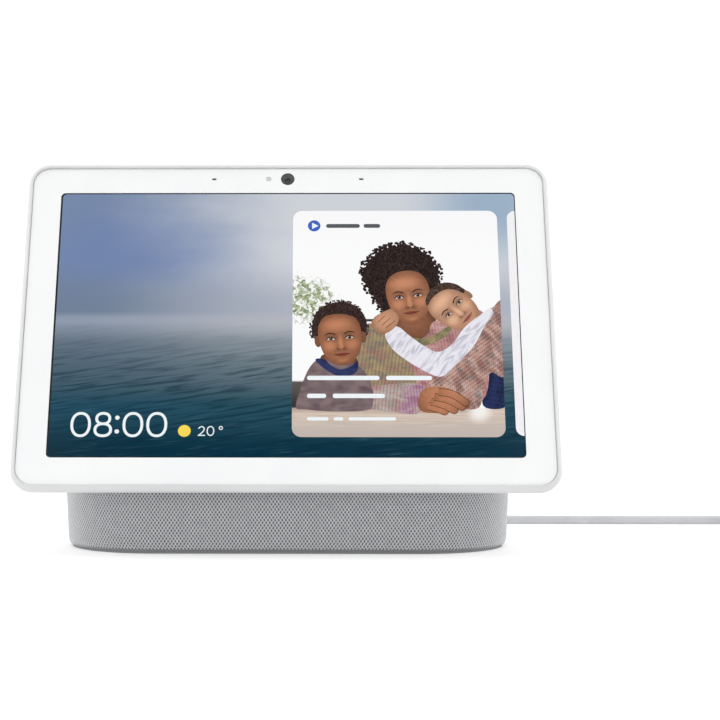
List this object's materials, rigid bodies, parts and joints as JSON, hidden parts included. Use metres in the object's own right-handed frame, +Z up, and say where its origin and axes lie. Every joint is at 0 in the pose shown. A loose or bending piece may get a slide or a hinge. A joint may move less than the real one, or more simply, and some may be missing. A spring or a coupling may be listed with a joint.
{
  "type": "smart display",
  "caption": "Smart display with a tilted touch screen head on a cloth-covered speaker base, a mains lead in a storage coil and a wall adapter.",
  "frame": {"origin": "on the table, at the middle of the standing object without its power lead", "axes": "+X to the right of a person facing the screen, +Y away from them, +Z up"},
  "size_m": [0.4438, 0.1594, 0.1825],
  "materials": {
    "front_glass": "polished",
    "white_ink": "smooth white print behind the glass",
    "screen": "lit screen",
    "white_plastic": "satin",
    "aluminium": "satin",
    "steel": "satin",
    "black_plastic": "satin",
    "grey_plastic": "satin",
    "lens_glass": "polished",
    "circuit_board": "solder mask",
    "foam": "matte",
    "copper": "satin",
    "cloth": "woven",
    "foot_silicone": "matte",
    "ferrite": "matte",
    "speaker_cone": "matte",
    "speaker_rubber": "matte",
    "speaker_cloth": "woven",
    "lead_white": "satin",
    "adapter_white": "satin",
    "nickel": "bright nickel"
  },
  "bodies": {
    "root": {"cover_glass": "front_glass", "ink_mask": "white_ink", "lcd_panel": "screen", "backlight_unit": "white_plastic", "mid_frame": "aluminium", "display_housing": "white_plastic", "camera_barrel": "black_plastic", "camera_lens": "lens_glass", "camera_board": "circuit_board", "microphone_boards": "circuit_board", "mic_gaskets": "foam", "light_sensor": "black_plastic", "main_board": "circuit_board", "shield_cans": "steel", "heat_spreader": "aluminium", "wifi_antennas": "copper", "display_flex": "copper", "privacy_switch_body": "black_plastic", "volume_pin": "steel", "volume_board": "circuit_board", "neck_seal": "foam", "neck_bracket": "steel", "neck_screws": "steel", "speaker_enclosure": "black_plastic", "fabric_cover": "cloth", "base_plate": "grey_plastic", "ballast_weight": "steel", "foot_pad": "foot_silicone", "base_screws": "steel", "woofer_gasket": "foam", "woofer_basket": "black_plastic", "woofer_top_plate": "steel", "woofer_magnet": "ferrite", "woofer_yoke": "steel", "woofer_surround": "speaker_rubber", "woofer_spider": "speaker_cloth", "tweeter_housings": "black_plastic", "tweeter_magnets": "steel", "tweeter_surround_left": "speaker_rubber", "tweeter_surround_right": "speaker_rubber", "dc_jack": "black_plastic", "power_board": "circuit_board", "speaker_harness": "speaker_rubber"},
    "volume_rocker": {"volume_rocker": "white_plastic"},
    "privacy_switch": {"privacy_switch_knob": "white_plastic"},
    "woofer_cone": {"woofer_cone": "speaker_cone", "voice_coil": "copper"},
    "tweeter_left": {"tweeter_dome_left": "speaker_cone"},
    "tweeter_right": {"tweeter_dome_right": "speaker_cone"},
    "power_lead": {"dc_plug": "lead_white", "plug_boot": "lead_white", "power_cord": "lead_white", "cord_coil": "lead_white", "cord_tie": "black_plastic", "cord_tail": "lead_white", "adapter_boot": "lead_white", "adapter_case": "adapter_white", "adapter_face": "adapter_white", "adapter_pins": "nickel", "adapter_board": "circuit_board"}
  },
  "joints": [
    {"name": "volume_rocker_tilt", "type": "hinge", "parent": "root", "child": "volume_rocker", "pos_m": [0.104, 0.00076, 0.12137], "axis": [1, 0, 0], "range_deg": [-2.5, 2.5], "stiffness_Nm_per_rad": 0.2},
    {"name": "privacy_switch_slide", "type": "slide", "parent": "root", "child": "privacy_switch", "axis": [1, 0, 0], "range_m": [0, 0.0026]},
    {"name": "woofer_stroke", "type": "slide", "parent": "root", "child": "woofer_cone", "axis": [0, 0.8796, 0.4756], "range_m": [-0.002, 0.002], "stiffness_N_per_m": 1500, "deforming": ["woofer_surround", "woofer_spider"]},
    {"name": "tweeter_left_stroke", "type": "slide", "parent": "root", "child": "tweeter_left", "axis": [0, -1, 0], "range_m": [-0.0003, 0.0003], "stiffness_N_per_m": 2000, "deforming": ["tweeter_surround_left"]},
    {"name": "tweeter_right_stroke", "type": "slide", "parent": "root", "child": "tweeter_right", "axis": [0, -1, 0], "range_m": [-0.0003, 0.0003], "stiffness_N_per_m": 2000, "deforming": ["tweeter_surround_right"]},
    {"name": "dc_plug_pull", "type": "slide", "parent": "root", "child": "power_lead", "axis": [0, 1, 0], "range_m": [0, 0.013]}
  ]
}
